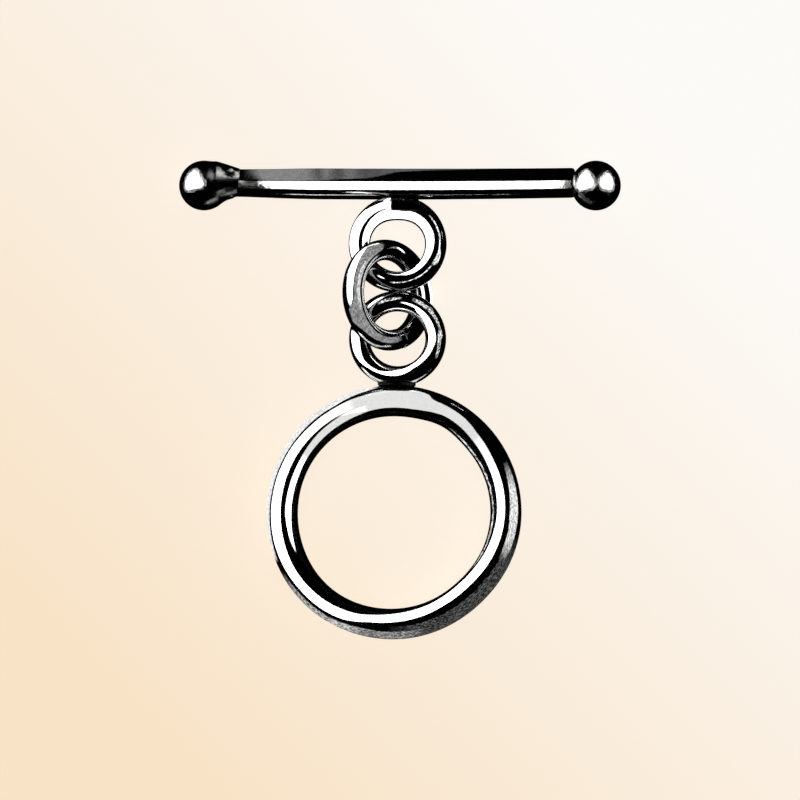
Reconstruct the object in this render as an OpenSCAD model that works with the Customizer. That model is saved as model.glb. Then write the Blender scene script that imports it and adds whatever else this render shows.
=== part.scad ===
// Toggle clasp of polished silver wire, lying on a flat surface as it is put down.
// A ball-ended bar and a round ring each carry a small soldered loop, and one open
// jump ring links the two loops. Millimetres, +Z up, +Y from the ring to the bar.
// The origin is on the surface, under the middle of the whole clasp.

/* [Toggle ring] */
// Outside diameter of the ring that the bar passes through
ring_od = 15; // [14.6:0.1:16]
// Thickness of the ring's round wire
ring_wire = 1.85; // [1.7:0.05:1.95]
// Tilt of the lying ring, loop side up and far side down on the surface
ring_tilt = 3.8; // [3.6:0.1:4]
// How far the ring is turned clockwise, seen from above
ring_turn = 1.1; // [0.5:0.1:1.5]

/* [Toggle bar] */
// Length of the bar over its two end balls
bar_length = 26; // [22:0.5:32]
// Diameter of the ball on each end
ball_d = 2.95; // [2.8:0.05:3]
// Diameter of the rod at its middle
rod_d = 1.84; // [1.7:0.02:2]
// Diameter of the rod where it meets the left ball
rod_left_d = 1.64; // [1.5:0.02:1.7]
// Diameter of the rod where it meets the right ball
rod_right_d = 1.78; // [1.6:0.02:1.8]
// How far the rod's axis lies off the line between the balls, away from the loop
rod_offset = 0.13; // [0:0.01:0.16]
// How far the loop is soldered on left of the bar's middle
bar_loop_left = 0.14; // [0:0.02:1]
// How far the bar is rolled on its balls so that the loop rises
bar_roll = 6.5; // [6.3:0.1:6.7]

/* [Loops] */
// Outside diameter of the loop on the bar and of the loop on the ring
loop_od = 5.72; // [5.68:0.01:5.74]
// Thickness of the wire in both loops
loop_wire = 1.23; // [1.15:0.01:1.25]
// How deep the bar's loop is let into the rod where it is soldered
bar_loop_sink = 0.18; // [0.15:0.01:0.2]
// How deep the ring's loop is let into the ring where it is soldered
ring_loop_sink = 0.09; // [0.07:0.01:0.11]
// How far the ring's loop is bent up out of the plane of the ring
ring_loop_bend = 5.8; // [5.7:0.1:5.9]
// Width of the solder neck between the ring and its loop
neck_w = 1.95; // [1.8:0.05:2.1]
// Thickness of the solder neck
neck_t = 0.7; // [0.5:0.05:0.8]

/* [Jump ring] */
// Outside diameter of the jump ring
jump_od = 6.57; // [6.54:0.01:6.6]
// Thickness of the jump ring's wire
jump_wire = 1.23; // [1.15:0.01:1.25]
// Width of the saw cut where the jump ring is closed
saw_cut = 0.05; // [0.03:0.01:0.1]
// Where the saw cut is, round the ring from its low side
saw_cut_angle = -78; // [-90:1:-66]
// Tilt of the jump ring, left side up and right side down on the surface
jump_tilt = 44.6; // [44.5:0.1:44.8]
// Direction of the low side, turned from +X towards the bar
jump_heading = 5.6; // [5.2:0.1:6]

/* [Spacing] */
// Distance between the middles of the two loops, seen from above
loop_spacing = 5.575; // [5.57:0.005:5.58]
// Middle of the jump ring, left of the loops' middles
jump_left = 0.6; // [0.59:0.01:0.61]
// Middle of the jump ring, on the ring's side of halfway between the loops
jump_back = 0.22; // [0.21:0.01:0.23]

/* [Hidden] */
$fn = 96;

ring_r = (ring_od - ring_wire) / 2;
loop_r = (loop_od - loop_wire) / 2;
jump_r = (jump_od - jump_wire) / 2;
ball_r = ball_d / 2;
ball_x = bar_length / 2 - ball_r;

// Loop middles measured from the bar's and from the ring's own wire
bar_reach = rod_d / 2 + loop_od / 2 - bar_loop_sink - rod_offset;
ring_reach = ring_wire / 2 + loop_od / 2 - ring_loop_sink;

// Places seen from above, first from halfway between the two loops
bar_from_mid = loop_spacing / 2 + bar_reach * cos(bar_roll);
ring_arm = ring_r * cos(ring_tilt) + ring_reach * cos(ring_tilt + ring_loop_bend);
ring_from_mid = -loop_spacing / 2 - ring_arm * cos(ring_turn);
top_edge = bar_from_mid + ball_r;
bottom_edge = ring_from_mid - ring_r * cos(ring_tilt) - ring_wire / 2;

// Halfway between the loops, from the origin
mid_x = -bar_loop_left;
mid_y = -(top_edge + bottom_edge) / 2;

// Heights of the three pieces' middles when they lie on the surface
bar_z = ball_r;
ring_z = ring_wire / 2 + ring_r * sin(ring_tilt);
jump_z = jump_wire / 2 + jump_r * sin(jump_tilt);

// Solder collar that runs from the left ball onto the rod, along from the ball's middle
collar_start_x = 0.2;
collar_start_r = 1.3;
collar_mid_x = 1.2;
collar_mid_r = 1.1;
collar_end_x = 2;
// Rod's worn right end, and how near it comes to the right ball's middle
rod_end_x = 1.25;
rod_end_chamfer = 0.2;
// Where the rod has nearly swelled to its full thickness, and what its radius still lacks there
swell_x = -5.5;
swell_short = 0.01;
// Flanks of the solder neck are hollow
neck_flank_r = 0.12;
neck_half_len = 0.4;

// Ring of round wire about the Z axis, whole or with a gap of open_angle degrees
module wire_ring(middle_r, wire, open_angle = 0) {
    rotate_extrude(angle = 360 - open_angle)
        translate([middle_r, 0])
            circle(d = wire);
}

// Outline of the rod and its left collar above the axis, turned about X
module rod_profile() {
    polygon([
        [-ball_x + collar_start_x, 0],
        [-ball_x + collar_start_x, collar_start_r],
        [-ball_x + collar_mid_x, collar_mid_r],
        [-ball_x + collar_end_x, rod_left_d / 2],
        [swell_x, rod_d / 2 - swell_short],
        [0, rod_d / 2],
        [ball_x - rod_end_x - rod_end_chamfer, rod_right_d / 2],
        [ball_x - rod_end_x, rod_right_d / 2 - rod_end_chamfer],
        [ball_x - rod_end_x, 0]
    ]);
}

module rod() {
    translate([0, rod_offset, 0])
        rotate([90, 0, 90])
            rotate_extrude()
                rotate([0, 0, 90])
                    rod_profile();
}

// Web of solder in the crevice between the ring's wire and its loop
module solder_neck() {
    linear_extrude(height = neck_t, center = true)
        difference() {
            square([neck_w + 2 * neck_flank_r, 2 * neck_half_len], center = true);
            for (side = [-1, 1])
                translate([side * (neck_w / 2 + neck_flank_r), neck_flank_r / 2])
                    circle(r = neck_flank_r);
        }
}

// Rod, two balls and the soldered loop, all one piece, with the left ball turned end for end
module toggle_bar() {
    color("silver")
        translate([0, mid_y + bar_from_mid, bar_z])
            rotate([-bar_roll, 0, 0])
                union() {
                    rod();
                    for (side = [-1, 1])
                        translate([side * ball_x, 0, 0])
                            rotate([0, 0, side < 0 ? 180 : 0])
                                sphere(r = ball_r);
                    translate([-bar_loop_left, -bar_reach, 0])
                        wire_ring(loop_r, loop_wire);
                }
}

// Open jump ring through both loops, its low side on the surface
module jump_ring() {
    open_angle = saw_cut / jump_r * 180 / PI;
    color("darkgray")
        translate([mid_x - jump_left, mid_y - jump_back, jump_z])
            rotate([0, jump_tilt, jump_heading])
                rotate([0, 0, saw_cut_angle + open_angle / 2])
                    wire_ring(jump_r, jump_wire, open_angle);
}

// Ring, solder neck and soldered loop, all one piece
module toggle_ring() {
    color("lightgray")
        translate([
            mid_x - ring_arm * sin(ring_turn),
            mid_y + ring_from_mid,
            ring_z
        ])
            rotate([0, 0, -ring_turn])
                rotate([ring_tilt, 0, 0])
                    union() {
                        wire_ring(ring_r, ring_wire);
                        translate([0, ring_r, 0])
                            rotate([ring_loop_bend, 0, 0]) {
                                translate([0, ring_wire / 2 - ring_loop_sink / 2, 0])
                                    solder_neck();
                                translate([0, ring_reach, 0])
                                    wire_ring(loop_r, loop_wire);
                            }
                    }
}

toggle_bar();
jump_ring();
toggle_ring();
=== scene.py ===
# Looks of a polished silver toggle clasp that lies on a pale surface, seen from straight above.
import math

import bpy
import numpy as np
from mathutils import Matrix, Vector


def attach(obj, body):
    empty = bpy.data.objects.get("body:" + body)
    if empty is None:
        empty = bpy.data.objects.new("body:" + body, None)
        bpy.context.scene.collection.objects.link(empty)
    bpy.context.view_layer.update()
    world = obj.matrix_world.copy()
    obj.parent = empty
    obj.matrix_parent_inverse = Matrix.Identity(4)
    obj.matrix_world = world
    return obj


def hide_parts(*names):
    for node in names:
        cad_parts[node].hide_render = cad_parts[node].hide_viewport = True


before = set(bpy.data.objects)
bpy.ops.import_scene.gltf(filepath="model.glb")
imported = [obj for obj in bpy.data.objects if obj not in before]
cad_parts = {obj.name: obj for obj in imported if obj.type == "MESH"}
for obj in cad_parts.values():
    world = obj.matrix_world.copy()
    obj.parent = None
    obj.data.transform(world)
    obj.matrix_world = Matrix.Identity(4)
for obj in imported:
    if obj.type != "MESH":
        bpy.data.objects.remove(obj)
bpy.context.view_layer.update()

MM = 0.001

# Sizes in millimetres, the same as the solids have
RING_OD = 15.0
RING_WIRE = 1.85
RING_TILT = 3.8
RING_TURN = 1.1
BAR_LENGTH = 26.0
BALL_D = 2.95
ROD_D = 1.84
ROD_LEFT_D = 1.64
ROD_RIGHT_D = 1.78
ROD_OFFSET = 0.13
BAR_LOOP_LEFT = 0.14
BAR_ROLL = 6.5
LOOP_OD = 5.72
LOOP_WIRE = 1.23
BAR_LOOP_SINK = 0.18
RING_LOOP_SINK = 0.09
RING_LOOP_BEND = 5.8
JUMP_OD = 6.57
JUMP_WIRE = 1.23
SAW_CUT = 0.05
SAW_CUT_ANGLE = -78.0
JUMP_TILT = 44.6
JUMP_HEADING = 5.6
LOOP_SPACING = 5.575
JUMP_LEFT = 0.6
JUMP_BACK = 0.22

RING_R = (RING_OD - RING_WIRE) / 2
LOOP_R = (LOOP_OD - LOOP_WIRE) / 2
JUMP_R = (JUMP_OD - JUMP_WIRE) / 2
BALL_R = BALL_D / 2
BALL_X = BAR_LENGTH / 2 - BALL_R
BAR_REACH = ROD_D / 2 + LOOP_OD / 2 - BAR_LOOP_SINK - ROD_OFFSET
RING_REACH = RING_WIRE / 2 + LOOP_OD / 2 - RING_LOOP_SINK


def sin_d(angle):
    return math.sin(math.radians(angle))


def cos_d(angle):
    return math.cos(math.radians(angle))


# Places, worked out as the solids' are
BAR_FROM_MID = LOOP_SPACING / 2 + BAR_REACH * cos_d(BAR_ROLL)
RING_ARM = RING_R * cos_d(RING_TILT) + RING_REACH * cos_d(RING_TILT + RING_LOOP_BEND)
RING_FROM_MID = -LOOP_SPACING / 2 - RING_ARM * cos_d(RING_TURN)
TOP_EDGE = BAR_FROM_MID + BALL_R
BOTTOM_EDGE = RING_FROM_MID - RING_R * cos_d(RING_TILT) - RING_WIRE / 2
MID_X = -BAR_LOOP_LEFT
MID_Y = -(TOP_EDGE + BOTTOM_EDGE) / 2
BAR_ORIGIN = (0, MID_Y + BAR_FROM_MID, BALL_R)
RING_ORIGIN = (
    MID_X - RING_ARM * sin_d(RING_TURN),
    MID_Y + RING_FROM_MID,
    RING_WIRE / 2 + RING_R * sin_d(RING_TILT),
)
JUMP_ORIGIN = (
    MID_X - JUMP_LEFT,
    MID_Y - JUMP_BACK,
    JUMP_WIRE / 2 + JUMP_R * sin_d(JUMP_TILT),
)


def turn(x=0.0, y=0.0, z=0.0):
    """Rotation matrix for turns about X, then Y, then Z, in degrees."""
    cx, sx = cos_d(x), sin_d(x)
    cy, sy = cos_d(y), sin_d(y)
    cz, sz = cos_d(z), sin_d(z)
    about_x = np.array([[1, 0, 0], [0, cx, -sx], [0, sx, cx]])
    about_y = np.array([[cy, 0, sy], [0, 1, 0], [-sy, 0, cy]])
    about_z = np.array([[cz, -sz, 0], [sz, cz, 0], [0, 0, 1]])
    return about_z @ about_y @ about_x


def local(p, origin, matrix):
    """Points in the frame of a piece that was turned by matrix and moved to origin."""
    return (p - np.array(origin)) @ matrix


# Distance functions of the metal, in millimetres: negative inside, arrays of points in
def torus(p, middle_r, wire_r):
    around = np.hypot(p[:, 0], p[:, 1]) - middle_r
    return np.hypot(around, p[:, 2]) - wire_r


def blend_union(a, b, k):
    """Union with a solder fillet about k wide in the corner between a and b."""
    h = np.maximum(k - np.abs(a - b), 0) / k
    return np.minimum(a, b) - h * h * k / 4


def smooth_step(x, low, high):
    t = np.clip((x - low) / (high - low), 0, 1)
    return t * t * (3 - 2 * t)


def waves(p, seed, length, count=7):
    """Smooth hand-finished unevenness from 0 to 1, about length millimetres from crest to crest."""
    rng = np.random.default_rng(seed)
    total = np.zeros(len(p))
    for _ in range(count):
        way = rng.normal(size=3)
        way /= np.linalg.norm(way)
        k = 2 * math.pi / (length * rng.uniform(0.7, 1.6))
        total += np.sin(p @ way * k + rng.uniform(0, 2 * math.pi))
    return 0.5 + 0.5 * np.clip(total / (0.55 * count), -1, 1)


def bell(angle, middle, width):
    """1 at the middle, falling to 0 about two widths away, all in degrees round a ring."""
    away = (angle - middle + 180) % 360 - 180
    return np.exp(-((away / width) ** 2))


def angle_round(p):
    return np.degrees(np.arctan2(p[:, 1], p[:, 0]))


# Frames of the pieces
BAR_TURN = turn(x=-BAR_ROLL)
RING_TURN_MATRIX = turn(x=RING_TILT, z=-RING_TURN)
LOOP_BEND_MATRIX = turn(x=RING_LOOP_BEND)
JUMP_TURN = turn(y=JUMP_TILT, z=JUMP_HEADING)
BAR_LOOP_AT = np.array([-BAR_LOOP_LEFT, -BAR_REACH, 0])

# How deep the finishing has worn the wire. It only takes metal away.
WEAR = 0.012
# How thick the solder lies over the wire
SOLDER_FILM = 0.012
# How much the jump ring was pulled wide, left to right, when it was closed
JUMP_SPREAD = 1.05


def bar_frame(p):
    return local(p, BAR_ORIGIN, BAR_TURN)


def ring_frame(p):
    return local(p, RING_ORIGIN, RING_TURN_MATRIX)


def rod_shape(p):
    """Slightly bowed rod, thinner towards the balls, with a worn round edge at its right end."""
    q = bar_frame(p)
    x = q[:, 0]
    radius = (
        ROD_LEFT_D / 2
        + (ROD_D - ROD_LEFT_D) / 2 * smooth_step(x, -BALL_X + 1.6, -4.5)
        - (ROD_D - ROD_RIGHT_D) / 2 * smooth_step(x, 0, BALL_X - 1)
    )
    edge = 0.22
    start, end = -BALL_X, BALL_X - 1.22
    bow = ROD_OFFSET - 0.05 + 0.1 * (x / BALL_X) ** 2
    out = np.hypot(q[:, 1] - bow, q[:, 2]) - radius + edge
    along = np.abs(x - (start + end) / 2) - (end - start) / 2 + edge
    inside = np.minimum(np.maximum(out, along), 0)
    return inside + np.hypot(np.maximum(out, 0), np.maximum(along, 0)) - edge


def bar_loop_shape(p):
    """Loop of wire, thicker where its two ends meet under the rod."""
    q = bar_frame(p) - BAR_LOOP_AT
    top = bell(angle_round(q), 90, 40)
    side = 1 - bell(angle_round(q), 270, 60)
    return torus(q, LOOP_R - 0.1 * top, LOOP_WIRE / 2 + 0.09 * top + 0.03 * side)


def left_ball_shape(p):
    """Ball with its collar of solder, heaped a little on the side away from the loop."""
    q = bar_frame(p)
    ball = np.linalg.norm(q - np.array([-BALL_X, 0, 0]), axis=1) - BALL_R
    x = q[:, 0] + BALL_X
    radius = np.interp(x, [0.3, 0.74, 1.24, 1.67, 2.1], [1.4, 1.34, 1.11, 0.95, 0.8])
    heap = np.interp(x, [0.3, 0.74, 1.24, 1.67], [0.03, 0.1, 0.18, 0.2])
    cone = np.maximum((np.hypot(q[:, 1] - heap, q[:, 2]) - radius) * 0.9, np.abs(x - 1.15) - 0.95)
    lump = bead(q, (-BALL_X + 1.42, 0.72, 0.55), (0.42, 0.34, 0.42))
    drip = bead(q, (-BALL_X + 1.6, -0.66, 0.1), (0.16, 0.14, 0.3))
    return blend_union(blend_union(blend_union(ball, cone, 0.05), lump, 0.2), drip, 0.08)


def right_ball_shape(p):
    return np.linalg.norm(bar_frame(p) - np.array([BALL_X, 0, 0]), axis=1) - BALL_R


def bead(p, middle, size):
    """Egg-shaped blob with the given half sizes."""
    return (np.linalg.norm((p - np.array(middle)) / np.array(size), axis=1) - 1) * min(size)


def ring_shape(p):
    """Ring of wire, a little out of round and worn flat in two places as hand-made rings are."""
    q = ring_frame(p)
    angle = angle_round(q)
    shift = 0.12 * bell(angle, 228, 32) - 0.11 * bell(angle, 315, 26) + 0.06 * bell(angle, 62, 12)
    thinned = 0.045 * bell(angle, 240, 28) + 0.06 * bell(angle, 62, 12)
    return torus(q, RING_R + shift, RING_WIRE / 2 - thinned)


def ring_loop_shape(p):
    hinge = (ring_frame(p) - np.array([0, RING_R, 0])) @ LOOP_BEND_MATRIX
    return torus(hinge - np.array([0, RING_REACH, 0]), LOOP_R, LOOP_WIRE / 2)


def bar_solder_shape(p):
    """Solder that joins the loop to the rod and has run down onto the loop's right side."""
    middle = np.array([0.44, LOOP_R + 0.14, 0.1])
    half_size = np.array([0.7, 0.35, 0.9])
    rounding = 0.1
    q = np.abs(bar_frame(p) - BAR_LOOP_AT - middle) - half_size
    near = np.linalg.norm(np.maximum(q, 0), axis=1) + np.minimum(q.max(axis=1), 0) - rounding
    return np.maximum(blend_union(rod_shape(p), bar_loop_shape(p), 0.2) - SOLDER_FILM, near)


def ring_solder_shape(p):
    near = bead(ring_frame(p), (0, RING_R + RING_WIRE / 2 + 0.06, 0.05), (1.15, 0.34, 1.0))
    return np.maximum(blend_union(ring_shape(p), ring_loop_shape(p), 0.4) - SOLDER_FILM, near)


# Meshes
def surface_net(shape, low, high, cell):
    """Corners and quads of the surface where shape is zero, one corner in each cell that it passes."""
    counts = np.ceil((np.array(high) - np.array(low)) / cell).astype(int) + 1
    axes = [low[i] + cell * np.arange(counts[i]) for i in range(3)]
    values = np.empty(counts)
    for i, x in enumerate(axes[0]):
        y, z = np.meshgrid(axes[1], axes[2], indexing="ij")
        points = np.stack([np.full(y.size, x), y.ravel(), z.ravel()], axis=1)
        values[i] = shape(points).reshape(y.shape)
    inside = values < 0
    cells = tuple(counts - 1)
    corners = [(i, j, k) for i in (0, 1) for j in (0, 1) for k in (0, 1)]

    def corner(grid, c):
        return grid[c[0]:c[0] + cells[0], c[1]:c[1] + cells[1], c[2]:c[2] + cells[2]]

    held = sum(corner(inside, c).astype(np.int8) for c in corners)
    active = (held > 0) & (held < 8)
    sums = np.zeros((active.sum(), 3))
    hits = np.zeros(active.sum())
    for start in corners:
        for axis in range(3):
            if start[axis]:
                continue
            end = tuple(v + (n == axis) for n, v in enumerate(start))
            a, b = corner(values, start)[active], corner(values, end)[active]
            cross = (a < 0) != (b < 0)
            point = np.tile(np.array(start, float), (len(a), 1))
            point[:, axis] += np.where(cross, a / np.where(cross, a - b, 1), 0)
            sums += point * cross[:, None]
            hits += cross
    verts = np.array(low) + cell * (np.argwhere(active) + sums / hits[:, None])

    index = np.full(cells, -1)
    index[active] = np.arange(active.sum())
    quads = []
    for axis in range(3):
        u, v = (axis + 1) % 3, (axis + 2) % 3
        first, second = [slice(None)] * 3, [slice(None)] * 3
        first[axis], second[axis] = slice(0, -1), slice(1, None)
        starts_in = inside[tuple(first)]
        at = np.argwhere(starts_in != inside[tuple(second)])
        at = at[(at[:, u] > 0) & (at[:, v] > 0) & (at[:, u] < cells[u]) & (at[:, v] < cells[v])]
        around = []
        for du, dv in ((0, 0), (-1, 0), (-1, -1), (0, -1)):
            c = at.copy()
            c[:, u] += du
            c[:, v] += dv
            around.append(index[c[:, 0], c[:, 1], c[:, 2]])
        around = np.stack(around, axis=1)
        outward = starts_in[at[:, 0], at[:, 1], at[:, 2]]
        quads.append(np.where(outward[:, None], around, around[:, ::-1]))
    return verts, np.concatenate(quads)


def gradient(shape, p, step=0.004):
    out = np.empty_like(p)
    for axis in range(3):
        d = np.zeros(3)
        d[axis] = step
        out[:, axis] = (shape(p + d) - shape(p - d)) / (2 * step)
    return out


def settle(shape, verts, quads, rounds=4):
    """Evens out the corners along the surface, puts them exactly on it and gives its normals."""
    edges = np.concatenate([quads[:, [0, 1]], quads[:, [1, 2]], quads[:, [2, 3]], quads[:, [3, 0]]])
    both = np.concatenate([edges, edges[:, ::-1]])
    degree = np.bincount(both[:, 0], minlength=len(verts))[:, None]
    for round_number in range(rounds):
        if round_number < rounds - 1:
            sums = [np.bincount(both[:, 0], verts[both[:, 1], i], len(verts)) for i in range(3)]
            verts = verts + 0.6 * (np.stack(sums, axis=1) / degree - verts)
        for _ in range(2):
            g = gradient(shape, verts)
            verts = verts - (shape(verts) / np.maximum((g * g).sum(1), 0.05))[:, None] * g
    g = gradient(shape, verts)
    return verts, g / np.linalg.norm(g, axis=1)[:, None]


def add_piece(name, verts, faces, joint_nearness, normals=None):
    """Piece in metres, with a 0 to 1 attribute that is 1 at the solder."""
    mesh = bpy.data.meshes.new(name)
    mesh.from_pydata((verts * MM).tolist(), [], [tuple(f) for f in faces])
    mesh.update()
    mesh.shade_smooth()
    if normals is not None:
        mesh.normals_split_custom_set_from_vertices(normals.tolist())
    nearness = mesh.attributes.new("joint", "FLOAT", "POINT")
    nearness.data.foreach_set("value", joint_nearness.astype(np.float32))
    piece = bpy.data.objects.new(name, mesh)
    bpy.context.scene.collection.objects.link(piece)
    return piece


def metal_piece(name, shape, middle, half_size, cell, seed, solder=None):
    """Piece with the surface where shape is zero, looked for in a box given by its middle and half size."""
    low = np.array(middle) - np.array(half_size)
    high = np.array(middle) + np.array(half_size)

    def worn(p):
        return shape(p) + WEAR * (0.7 * waves(p, seed, 3.2) + 0.3 * waves(p, seed + 1, 1.1))

    verts, quads = surface_net(shape, low, high, cell)
    verts, normals = settle(worn, verts, quads)
    joint = np.exp(-np.maximum(solder(verts), 0) / 0.12) if solder else np.zeros(len(verts))
    return add_piece(name, verts, quads, joint, normals)


def jump_ring_piece(name):
    """Round wire bent into a ring, with a hairline saw cut whose ends don't quite line up."""
    wire = JUMP_WIRE / 2
    edge = 0.035
    length = 2 * math.pi * JUMP_R - SAW_CUT
    half_gap = math.degrees(SAW_CUT / 2 / JUMP_R)
    cap = [(0.0, wire * share) for share in (0.35, 0.7)] + [(0.0, wire - edge)]
    rounding = [math.radians(a) for a in (22.5, 45, 67.5, 90)]
    cap += [(edge * (1 - math.cos(a)), wire - edge + edge * math.sin(a)) for a in rounding]
    body = [(s, wire) for s in np.linspace(edge, length - edge, 380)[1:-1]]
    rows = cap + body + [(length - s, r) for s, r in reversed(cap)]
    sides = 72
    verts, out_of_wire = [], []
    for s, r in rows:
        angle = math.radians(SAW_CUT_ANGLE + half_gap) + s / JUMP_R
        out = np.array([math.cos(angle), math.sin(angle), 0])
        near_start, near_end = math.exp(-s / 0.8), math.exp(-(length - s) / 0.8)
        middle = out * (JUMP_R + 0.012 * (near_start - near_end))
        middle = middle + np.array([0, 0, 0.016 * near_start - 0.01 * near_end])
        for side in np.linspace(0, 2 * math.pi, sides, endpoint=False):
            normal = out * math.cos(side) + np.array([0, 0, math.sin(side)])
            verts.append(middle + r * normal)
            out_of_wire.append(normal)
    verts = np.array(verts)
    verts = verts - np.array(out_of_wire) * (WEAR * waves(verts, 31, 2.4))[:, None]
    faces = []
    for i in range(len(rows) - 1):
        for j in range(sides):
            k = (j + 1) % sides
            faces.append((i * sides + j, (i + 1) * sides + j, (i + 1) * sides + k, i * sides + k))
    last = (len(rows) - 1) * sides
    verts = np.vstack([verts, verts[:sides].mean(axis=0), verts[last:].mean(axis=0)])
    start_middle, end_middle = len(verts) - 2, len(verts) - 1
    for j in range(sides):
        k = (j + 1) % sides
        faces.append((start_middle, j, k))
        faces.append((end_middle, last + k, last + j))
    verts = verts @ JUMP_TURN.T * np.array([JUMP_SPREAD, 1, 1]) + np.array(JUMP_ORIGIN)
    return add_piece(name, verts, faces, np.zeros(len(verts)))


# Materials
class Shader:
    """Small helper that adds and joins nodes of one material."""

    def __init__(self, name):
        self.material = bpy.data.materials.new(name)
        self.material.use_nodes = True
        self.nodes = self.material.node_tree.nodes
        self.links = self.material.node_tree.links
        self.nodes.clear()

    def add(self, kind, settings=None, **inputs):
        """Adds a node. Inputs are named with _ for a space, or i0, i1 by number."""
        node = self.nodes.new("ShaderNode" + kind)
        for key, value in (settings or {}).items():
            setattr(node, key, value)
        for key, value in inputs.items():
            by_number = key[0] == "i" and key[1:].isdigit()
            socket = node.inputs[int(key[1:]) if by_number else key.replace("_", " ")]
            if isinstance(value, bpy.types.NodeSocket):
                self.links.new(value, socket)
            else:
                socket.default_value = value
        return node

    def noise(self, place, scale, detail=4.0):
        return self.add("TexNoise", Vector=place, Scale=scale, Detail=detail, Roughness=0.6).outputs["Fac"]

    def spread(self, value, low, high, to_low=0.0, to_high=1.0):
        node = self.add("MapRange", Value=value, From_Min=low, From_Max=high, To_Min=to_low, To_Max=to_high)
        return node.outputs["Result"]

    def mix(self, share, first, second):
        first = (*first, 1) if isinstance(first, tuple) else first
        second = (*second, 1) if isinstance(second, tuple) else second
        return self.add("MixRGB", Fac=share, Color1=first, Color2=second).outputs[0]

    def finish(self, surface):
        out = self.add("OutputMaterial")
        self.links.new(surface, out.inputs["Surface"])
        return self.material


def silver(name, bright, dull, roughness, pit_depth, grain, pit_scale=5200.0):
    """Hand-polished silver: grainy tone, polishing scratches, small pits, and oxide near the solder."""
    s = Shader(name)
    place = s.add("TexCoord").outputs["Object"]
    clouds = s.spread(s.noise(place, 420.0), 0.3, 0.7)
    grains = s.spread(s.noise(place, grain), 0.38, 0.62)
    tone = s.mix(s.add("Math", {"operation": "MULTIPLY"}, i0=clouds, i1=grains).outputs[0], bright, dull)
    joint = s.add("Attribute", {"attribute_name": "joint"}).outputs["Fac"]
    ragged = s.add("Math", {"operation": "ADD"}, i0=joint, i1=s.noise(place, 7000.0)).outputs[0]
    oxide = s.spread(ragged, 1.05, 1.3)
    colour = s.mix(oxide, tone, (0.03, 0.03, 0.03))
    drawn = s.add("Mapping", Vector=place, Scale=(700.0, 5200.0, 2600.0), Rotation=(0.3, 0.2, 0.5)).outputs[0]
    scratches = s.noise(drawn, 1.0)
    shine = s.spread(scratches, 0.3, 0.75, roughness[0], roughness[1])
    worn = s.add("CombineColor", Red=shine, Green=shine, Blue=shine).outputs[0]
    rough = s.mix(oxide, worn, (0.45, 0.45, 0.45))
    fine = s.add("Bump", Strength=0.1, Distance=0.00001, Height=scratches).outputs[0]
    hollows = s.noise(place, pit_scale)
    pits = s.add("Bump", Strength=pit_depth, Distance=0.00002, Height=hollows, Normal=fine).outputs[0]
    metal = s.add("BsdfPrincipled", Base_Color=colour, Roughness=rough, Normal=pits)
    metal.inputs["Metallic"].default_value = 1.0
    return s.finish(metal.outputs[0])


def dark_solder(name):
    """Solder that the pickling left nearly black, with a few bright grains."""
    s = Shader(name)
    place = s.add("TexCoord").outputs["Object"]
    grains = s.spread(s.noise(place, 8000.0), 0.62, 0.7)
    colour = s.mix(grains, (0.015, 0.015, 0.014), (0.5, 0.5, 0.48))
    bumps = s.add("Bump", Strength=0.4, Distance=0.00003, Height=s.noise(place, 3500.0)).outputs[0]
    metal = s.add("BsdfPrincipled", Base_Color=colour, Normal=bumps)
    metal.inputs["Metallic"].default_value = 1.0
    metal.inputs["Roughness"].default_value = 0.3
    return s.finish(metal.outputs[0])


def pale_floor(name):
    """Pale acrylic lit from within, which gets warmer from the far right corner to the near left one."""
    s = Shader(name)
    place = s.add("TexCoord").outputs["Object"]
    across = s.add("VectorMath", {"operation": "DOT_PRODUCT"}, i0=place, i1=(-0.7, -0.7, 0.0))
    diagonal = across.outputs["Value"]
    colour = s.mix(s.spread(diagonal, -0.0235, 0.0235), (1.0, 0.985, 0.96), (0.965, 0.79, 0.585))
    glow = s.add("Emission", Color=colour, Strength=0.96)
    matt = s.add("BsdfDiffuse", Color=s.mix(0.7, colour, (0.0, 0.0, 0.0)))
    return s.finish(s.add("AddShader", i0=glow.outputs[0], i1=matt.outputs[0]).outputs[0])


def glow(name, level, speckle=0.0):
    """Light card that shows only as itself in the silver: 1 is as bright as white.

    The card's share attribute fades it out, and speckle breaks it up into grains.
    """
    s = Shader(name)
    share = s.add("Attribute", {"attribute_name": "share"}).outputs["Fac"]
    place = s.add("TexCoord").outputs["Object"]
    grains = s.spread(s.noise(place, 5200.0, 2.0), 0.46, 0.58, 1.0 - speckle, 1.0 + speckle)
    lit = s.add("Math", {"operation": "MULTIPLY"}, i0=share, i1=grains).outputs[0]
    strength = s.add("Math", {"operation": "MULTIPLY"}, i0=lit, i1=level).outputs[0]
    light = s.add("Emission", Strength=strength)
    clear = s.add("BsdfTransparent")
    return s.finish(s.add("AddShader", i0=light.outputs[0], i1=clear.outputs[0]).outputs[0])


def black(name):
    s = Shader(name)
    return s.finish(s.add("BsdfDiffuse", Color=(0.0, 0.0, 0.0, 1.0)).outputs[0])


polished = silver("polished_silver", (0.93, 0.93, 0.92), (0.78, 0.78, 0.77), (0.04, 0.1), 0.12, 9000.0)
cast = silver("cast_silver", (0.93, 0.93, 0.92), (0.55, 0.55, 0.54), (0.04, 0.1), 1.0, 9000.0, 9000.0)
drawn = silver("jump_ring_silver", (0.9, 0.9, 0.9), (0.5, 0.5, 0.5), (0.05, 0.14), 0.3, 7000.0)
solder = dark_solder("dark_solder")

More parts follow.
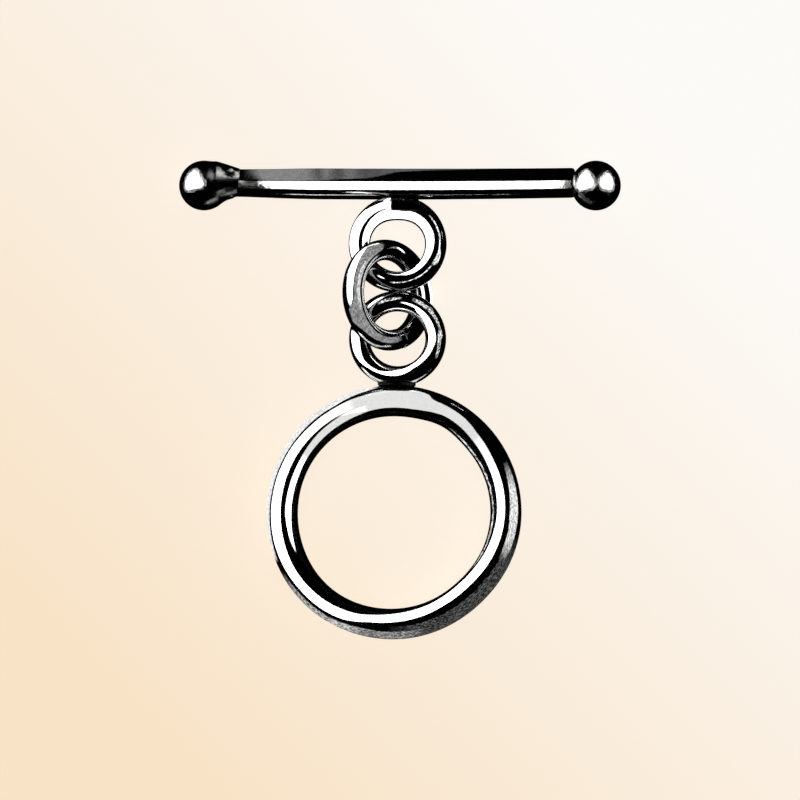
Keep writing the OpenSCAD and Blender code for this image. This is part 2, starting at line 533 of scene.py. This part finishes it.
BAR_Y, BAR_Z = BAR_ORIGIN[1], BAR_ORIGIN[2]
JOINT_Y = BAR_Y - BAR_REACH + LOOP_R
RING_LOOP_Y = RING_ORIGIN[1] + RING_R + RING_REACH
rod = metal_piece(
    "silver_rod", rod_shape, (0, BAR_Y + 0.1, BAR_Z), (BALL_X + 0.3, 1.2, 1.2), 0.07, 11, bar_solder_shape,
)
bar_loop = metal_piece(
    "silver_bar_loop", bar_loop_shape, (MID_X, BAR_Y - BAR_REACH, BAR_Z + 0.4), (3.1, 3.1, 1.3), 0.065, 14,
    bar_solder_shape,
)
left_end = metal_piece(
    "silver_left_ball", left_ball_shape, (0.5 - BALL_X, BAR_Y, BAR_Z), (2.2, 1.7, 1.7), 0.055, 12,
)
right_end = metal_piece(
    "silver_right_ball", right_ball_shape, (BALL_X, BAR_Y, BAR_Z), (1.7, 1.7, 1.7), 0.06, 13,
)
bar_joint = metal_piece("bar_solder", bar_solder_shape, (0.4, JOINT_Y, 2.0), (1.4, 1.0, 1.6), 0.04, 15)
link = jump_ring_piece("silver_jump_ring")
ring_loop = metal_piece(
    "silver_ring_loop", ring_loop_shape, (MID_X, RING_LOOP_Y, 2.3), (3.1, 3.1, 1.3), 0.065, 16,
    ring_solder_shape,
)
ring = metal_piece(
    "silver_ring", ring_shape, (RING_ORIGIN[0], RING_ORIGIN[1], 1.4), (7.8, 7.8, 1.6), 0.08, 21,
)
ring_joint = metal_piece(
    "ring_solder", ring_solder_shape, (MID_X, RING_ORIGIN[1] + RING_R + 1.0, 2.0), (1.5, 0.8, 1.3), 0.04, 17,
)
PIECES = [
    (rod, "toggle_bar", "polished_silver", polished),
    (bar_loop, "toggle_bar", "polished_silver", polished),
    (left_end, "toggle_bar", "polished_silver", cast),
    (right_end, "toggle_bar", "polished_silver", cast),
    (bar_joint, "toggle_bar", "polished_silver", solder),
    (link, "jump_ring", "jump_ring_silver", drawn),
    (ring_loop, "toggle_ring", "polished_silver", polished),
    (ring, "toggle_ring", "polished_silver", polished),
    (ring_joint, "toggle_ring", "polished_silver", solder),
]
for piece, node, slot, material in PIECES:
    piece.data.materials.append(material)
    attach(piece, "root")
    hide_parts(node)


# Floor, light cards and camera
def stage_mesh(name, corners, faces, material):
    """Flat or curved piece of the studio, given in millimetres."""
    mesh = bpy.data.meshes.new(name)
    mesh.from_pydata([(x * MM, y * MM, z * MM) for x, y, z in corners], [], faces)
    mesh.materials.append(material)
    thing = bpy.data.objects.new(name, mesh)
    bpy.context.scene.collection.objects.link(thing)
    return thing


def show_only_in(card, pieces):
    """The card is seen in these pieces of silver and nowhere else."""
    card.visible_camera = False
    card.visible_diffuse = False
    card.visible_shadow = False
    group = bpy.data.collections.new(card.name + "_receivers")
    for piece in pieces:
        group.objects.link(piece)
    card.light_linking.receiver_collection = group


def patch_card(name, corners, across, level, pieces, shares=None, speckle=0.0):
    """Curved card from a grid of corners, across faces wide, and fainter where its share is low."""
    faces = []
    for row in range(len(corners) // (across + 1) - 1):
        for i in range(across):
            a = row * (across + 1) + i
            faces.append((a, a + 1, a + across + 2, a + across + 1))
    card = stage_mesh(name, corners, faces, glow(name, level, speckle))
    values = np.ones(len(corners)) if shares is None else np.array(shares)
    share = card.data.attributes.new("share", "FLOAT", "POINT")
    share.data.foreach_set("value", values.astype(np.float32))
    show_only_in(card, pieces)


def flat_card(name, height, left, right, near, far, level, pieces):
    """Level card over the clasp, given in millimetres."""
    corners = [(left, near, height), (right, near, height), (left, far, height), (right, far, height)]
    patch_card(name, corners, 1, level, pieces)


def wall_card(name, distance, rows, level, pieces):
    """Upright card across the far side, with rows of x, lowest z, highest z and share of light."""
    corners, shares = [], []
    for x, low, high, share in rows:
        corners += [(x, distance, low), (x, distance, high)]
        shares += [share, share]
    patch_card(name, corners, 1, level, pieces, shares, 0.6)


# Wire hoops that the band cards follow: middle, turn, radius of the hoop and radius of the wire
LOOP_MATRIX = RING_TURN_MATRIX @ LOOP_BEND_MATRIX
LOOP_PLACE = RING_TURN_MATRIX @ np.array([0, RING_R, 0]) + LOOP_MATRIX @ np.array([0, RING_REACH, 0])
RING_HOOP = (np.array(RING_ORIGIN), RING_TURN_MATRIX, RING_R, RING_WIRE / 2)
BAR_HOOP = (np.array(BAR_ORIGIN) + BAR_TURN @ BAR_LOOP_AT, BAR_TURN, LOOP_R, LOOP_WIRE / 2)
LOOP_HOOP = (np.array(RING_ORIGIN) + LOOP_PLACE, LOOP_MATRIX, LOOP_R, LOOP_WIRE / 2)
JUMP_HOOP = (np.array(JUMP_ORIGIN), JUMP_TURN, JUMP_R, JUMP_WIRE / 2)


def band_card(name, hoop, lift, rows, level, pieces, fade=5.0, speckle=0.0):
    """Strip of card just off a hoop of wire, which shows in it as a band when seen from straight above.

    Each row gives an angle round the hoop, and the two angles round the wire between which the band
    lies there. 0 is the wire's outside, 90 its top and 180 its inside. The light fades out over the
    last degrees at both ends.
    """
    middle, matrix, hoop_r, wire_r = hoop
    rows = np.array(rows, float)
    across = 10
    corners, shares = [], []
    first, last = rows[0, 0], rows[-1, 0]
    for angle in np.linspace(first, last, int((last - first) / 2) + 2):
        start, end = np.interp(angle, rows[:, 0], rows[:, 1]), np.interp(angle, rows[:, 0], rows[:, 2])
        out = np.array([cos_d(angle), sin_d(angle), 0])
        for side in np.linspace(start, end, across + 1):
            normal = matrix @ (out * cos_d(side) + np.array([0, 0, sin_d(side)]))
            mirrored = 2 * normal[2] * normal - np.array([0, 0, 1])
            corners.append(middle + matrix @ out * hoop_r + normal * wire_r + mirrored * lift)
            shares.append(min(1, (angle - first) / fade, (last - angle) / fade))
    patch_card(name, corners, across, level, pieces, shares, speckle)


DOME = 300.0


def dome_card(name, azimuths, polars, level, pieces):
    """Part of a dome round the clasp: azimuths from +X towards +Y, polars from straight up, in degrees."""
    steps = 24
    corners = []
    for i in range(steps + 1):
        for j in range(steps + 1):
            azimuth = azimuths[0] + (azimuths[1] - azimuths[0]) * i / steps
            polar = polars[0] + (polars[1] - polars[0]) * j / steps
            flat = DOME * sin_d(polar)
            corners.append((flat * cos_d(azimuth), flat * sin_d(azimuth), DOME * cos_d(polar)))
    patch_card(name, corners, steps, level, pieces)


def black_tube(name, middle, radius, low, high, sides=48):
    """Upright black tube that is seen in the silver and nowhere else."""
    corners = []
    for i in range(sides + 1):
        x = middle[0] + radius * cos_d(360 * i / sides)
        y = middle[1] + radius * sin_d(360 * i / sides)
        corners += [(x, y, low), (x, y, high)]
    faces = [(2 * i, 2 * i + 1, 2 * i + 3, 2 * i + 2) for i in range(sides)]
    tube = stage_mesh(name, corners, faces, black("black_card"))
    tube.visible_camera = False
    tube.visible_diffuse = False
    tube.visible_shadow = False
    tube.visible_transmission = False


def soft_light(name, place, size, level):
    """Large soft light that lights the floor and isn't seen in the silver."""
    data = bpy.data.lights.new(name, "AREA")
    data.size = size * MM
    data.energy = level
    light = bpy.data.objects.new(name, data)
    bpy.context.scene.collection.objects.link(light)
    light.location = [v * MM for v in place]
    light.rotation_mode = "QUATERNION"
    light.rotation_quaternion = (-Vector(place)).to_track_quat("-Z", "Y")
    light.visible_camera = False
    light.visible_glossy = False


FLOOR_HALF = 600
floor_corners = [(x * FLOOR_HALF, y * FLOOR_HALF, 0) for x, y in ((-1, -1), (1, -1), (1, 1), (-1, 1))]
floor = stage_mesh("floor", floor_corners, [(0, 1, 2, 3)], pale_floor("pale_floor"))
# The floor and the loops aren't seen in the silver, so the rod's underside and the jump ring stay dark
floor.visible_glossy = False
bar_loop.visible_glossy = False
ring_loop.visible_glossy = False
soft_light("floor_light", (100, 120, 600), 700, 0.25)

WHITE, GREY = 3.0, 0.86
# How far the band cards stand off the wire
RING_LIFT, LOOP_LIFT, LOW_LIFT = 1.5, 0.9, 0.5
# The ring: a white strip that runs from its left side round the far side to its right, grey near the loop
band_card("ring_white_card", RING_HOOP, RING_LIFT, [
    (111, 51, 87), (120, 54, 87), (135, 54, 85), (150, 50, 83), (180, 45, 83), (195, 45, 84),
    (208, 51, 85), (220, 58, 90), (235, 63, 98), (245, 70, 106), (252, 82, 113), (257, 92, 121),
    (270, 101, 135), (285, 108, 144), (300, 113, 148), (315, 113, 149), (330, 107, 144),
    (345, 101, 135), (360, 95, 125), (375, 90, 120), (390, 87, 115), (405, 78, 108),
], WHITE, [ring], 30)
band_card("ring_grey_card", RING_HOOP, RING_LIFT, [
    (33, 84, 113), (45, 78, 108), (55, 66, 103), (64, 62, 102), (72, 59, 108), (75, 40, 110),
    (80, 36, 112), (90, 40, 112), (100, 46, 112), (106, 50, 114), (124, 54, 87),
], GREY, [ring], 8)
band_card("ring_inner_grey_card", RING_HOOP, RING_LIFT, [
    (105, 90, 115), (120, 92, 120), (135, 96, 122), (155, 104, 124),
], GREY, [ring])
band_card("ring_inner_white_card", RING_HOOP, RING_LIFT, [
    (148, 103, 122), (160, 104, 126), (180, 101, 125), (195, 108, 122), (204, 115, 119),
], WHITE, [ring])
band_card("ring_right_card", RING_HOOP, RING_LIFT, [
    (337, 55, 80), (345, 48, 80), (352, 44, 76), (360, 40, 77), (375, 38, 68), (386, 40, 59),
], 0.9, [ring], 12, 0.5)
band_card("ring_rim_card", RING_HOOP, RING_LIFT, [
    (98, 0, 22), (105, 0, 32), (120, 0, 45), (150, 0, 42), (175, 0, 36), (204, 0, 32),
], 1.0, [ring], 3, 0.3)
band_card("ring_left_speckle_card", RING_HOOP, RING_LIFT, [
    (209, 0, 36), (225, 0, 46), (240, 2, 50), (256, 14, 58),
], 0.42, [ring], 12, 0.8)
band_card("ring_low_speckle_card", RING_HOOP, RING_LIFT, [
    (238, 10, 52), (255, 18, 62), (270, 20, 63), (286, 22, 62),
], 0.28, [ring], 10, 0.8)
band_card("ring_dark_speckle_card", RING_HOOP, RING_LIFT, [
    (268, 12, 84), (300, 10, 86), (325, 10, 84), (350, 10, 66),
], 0.075, [ring], 14, 1.0)
band_card("ring_edge_card", RING_HOOP, RING_LIFT, [
    (325, 156, 162), (360, 141, 151), (400, 140, 150), (420, 138, 145),
], 0.8, [ring], 10, 0.9)
# The bar's loop: white on the left and all round its inside, with streaks on the right
band_card("bar_loop_white_card", BAR_HOOP, LOOP_LIFT, [
    (97, 62, 108), (105, 60, 100), (115, 52, 93), (125, 42, 91), (140, 38, 88), (150, 30, 87),
    (165, 27, 85), (180, 26, 84), (205, 28, 84),
], WHITE, [bar_loop])
band_card("bar_loop_inner_card", BAR_HOOP, LOOP_LIFT, [
    (275, 126, 138), (285, 117, 145), (300, 113, 147), (330, 108, 149), (345, 103, 150),
    (360, 99, 150), (375, 96, 150), (400, 100, 150), (420, 104, 151), (435, 114, 152),
    (452, 109, 152), (470, 100, 151), (480, 99, 150), (510, 104, 150), (540, 106, 150),
    (565, 106, 150),
], WHITE, [bar_loop])
band_card("bar_loop_right_streak", BAR_HOOP, LOOP_LIFT, [
    (326, 72, 80), (332, 52, 80), (345, 55, 74), (353, 66, 72), (375, 62, 70), (402, 66, 72),
], 1.2, [bar_loop], 8, 0.8)
band_card("bar_loop_low_streak", BAR_HOOP, LOOP_LIFT, [
    (259, 76, 82), (290, 79, 83), (326, 73, 80),
], 1.2, [bar_loop], 5, 0.8)
band_card("bar_loop_spot_card", BAR_HOOP, LOOP_LIFT, [(238, 85, 92), (251, 87, 92)], WHITE, [bar_loop])
# The ring's loop: white from its left side round its near inside to its right, grains of grey beyond
band_card("ring_loop_white_card", LOOP_HOOP, LOOP_LIFT, [
    (168, 30, 62), (176, 38, 88), (186, 44, 93), (195, 46, 91), (210, 58, 86), (225, 78, 93),
    (240, 90, 104), (255, 98, 120), (270, 105, 138), (280, 110, 142), (300, 124, 152),
    (320, 120, 152), (335, 110, 144), (350, 101, 136), (362, 90, 135), (375, 88, 127), (405, 85, 118),
    (420, 84, 108), (422, 84, 97), (447, 84, 90),
], WHITE, [ring_loop])
band_card("ring_loop_right_card", LOOP_HOOP, LOOP_LIFT, [
    (335, 62, 72), (345, 60, 78), (360, 62, 80), (368, 46, 78), (378, 50, 62), (405, 44, 66),
    (432, 44, 66),
], 0.7, [ring_loop], 8, 0.9)
band_card("ring_loop_far_card", LOOP_HOOP, LOOP_LIFT, [
    (85, 56, 68), (100, 60, 76), (120, 60, 74),
], 0.8, [ring_loop], 6, 0.9)
band_card("ring_loop_rim_card", LOOP_HOOP, LOOP_LIFT, [
    (108, 38, 46), (120, 40, 52), (134, 46, 60),
], WHITE, [ring_loop])
# The jump ring: white along its raised left edge, then a greyer face with a bright line at the inside
band_card("jump_ring_white_card", JUMP_HOOP, LOOP_LIFT, [
    (116, 12, 22), (130, 3, 32), (150, 3, 40), (165, 8, 42), (180, 12, 39), (188, 17, 24),
], WHITE, [link])
band_card("jump_ring_grey_card", JUMP_HOOP, LOOP_LIFT, [
    (96, 48, 60), (105, 38, 84), (118, 24, 88), (130, 34, 86), (150, 44, 84), (172, 48, 84),
    (183, 42, 84), (190, 10, 84), (205, 8, 84), (215, 33, 84), (230, 45, 84), (245, 57, 92),
    (262, 72, 104), (274, 86, 104),
], 0.36, [link], 8, 0.45)
band_card("jump_ring_bright_card", JUMP_HOOP, LOOP_LIFT, [
    (126, 72, 82), (140, 64, 84), (170, 62, 84), (196, 68, 84),
], 0.5, [link], 14, 0.5)
band_card("jump_ring_line_card", JUMP_HOOP, LOOP_LIFT, [
    (112, 96, 106), (150, 98, 108), (180, 100, 108), (205, 97, 102), (242, 97, 102),
], 0.9, [link], 10, 0.4)
band_card("jump_ring_low_card", JUMP_HOOP, LOW_LIFT, [(343, 58, 78), (374, 64, 88)], WHITE, [link], 3)
band_card("jump_ring_foot_card", JUMP_HOOP, LOW_LIFT, [
    (343, 112, 124), (372, 116, 132),
], WHITE, [link], 3)
band_card("jump_ring_streak_card", JUMP_HOOP, LOOP_LIFT, [
    (66, 92, 100), (73, 82, 92), (80, 75, 82),
], WHITE, [link], 2)
# The rod: a long strip overhead, and a dim wall beyond it for the left half
flat_card("rod_strip", 30, -9.5, 10.05, -13.2, 21.7, WHITE, [rod])
wall_card("rod_wall", 20, [
    (-9.2, -150, 18, 0), (-8.4, -150, 18, 1), (-5.6, -150, 18, 0.9), (-4.9, -150, 16, 0.35),
    (-4.4, -150, 14, 0.8), (-3.6, -150, 12, 0.3), (-3, -150, 11, 0.7), (-2.2, -150, 10, 0.3),
    (0, -150, 0, 0.45), (3, -60, -4, 0.3), (6.5, -30, -8, 0),
], 0.3, [rod])
# The balls: a window to the left, and a smaller one to the right of the right ball
dome_card("ball_west_card", (118, 192), (12, 92), WHITE, [left_end, right_end])
dome_card("ball_east_card", (-12, 48), (28, 84), WHITE, [right_end])
dome_card("collar_card", (36, 66), (50, 98), 0.7, [left_end])
# A dark tube in the ring's opening keeps its inner wall black
black_tube("dark_tube", RING_ORIGIN, 4.2, -6.0, 12.0)

world = bpy.data.worlds.new("dark_studio")
bpy.context.scene.world = world
world.use_nodes = True
world.node_tree.nodes["Background"].inputs["Color"].default_value = (0.0005, 0.0005, 0.0005, 1)

# Straight above, +Y up in the picture, 17 pixels to the millimetre in an 800 pixel frame
PICTURE_WIDTH = 800 / 17 * MM
CAMERA_HEIGHT = 0.9
camera_data = bpy.data.cameras.new("camera")
camera = bpy.data.objects.new("camera", camera_data)
bpy.context.scene.collection.objects.link(camera)
camera.location = (0, 0, CAMERA_HEIGHT)
camera_data.sensor_width = 36
camera_data.lens = 36 * (CAMERA_HEIGHT - BAR_Z * MM) / PICTURE_WIDTH
camera_data.clip_start = 0.01
bpy.context.scene.camera = camera
bpy.context.scene.view_settings.view_transform = "Standard"
